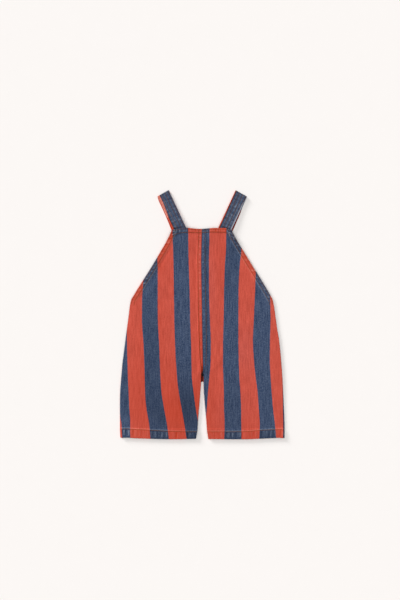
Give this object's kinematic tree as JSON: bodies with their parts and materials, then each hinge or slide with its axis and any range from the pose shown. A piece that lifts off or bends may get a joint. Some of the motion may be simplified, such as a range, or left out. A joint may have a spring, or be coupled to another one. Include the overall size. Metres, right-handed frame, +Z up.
{
  "type": "kids bib overalls laid flat",
  "caption": "Child's short bib overalls in striped denim, laid flat with the shoulder straps folded over at the top.",
  "frame": {"origin": "bottom centre of the laid garment, on the surface that it lies on", "axes": "+Y from the leg hems to the straps, +X to the right of the front view, +Z up from the surface through the back and the front"},
  "size_m": [0.3456, 0.5224, 0.0089],
  "materials": {
    "striped_denim": "washed cotton denim in wide red and blue stripes, matt, worn paler along hems and seams",
    "strap_denim": "washed blue cotton denim with a narrow red edge, matt",
    "thread": "rust brown cotton topstitching"
  },
  "bodies": {
    "root": {"front_left": "striped_denim", "front_right": "striped_denim", "back_left": "striped_denim", "back_right": "striped_denim", "strap_left": "strap_denim", "strap_right": "strap_denim"}
  },
  "joints": []
}
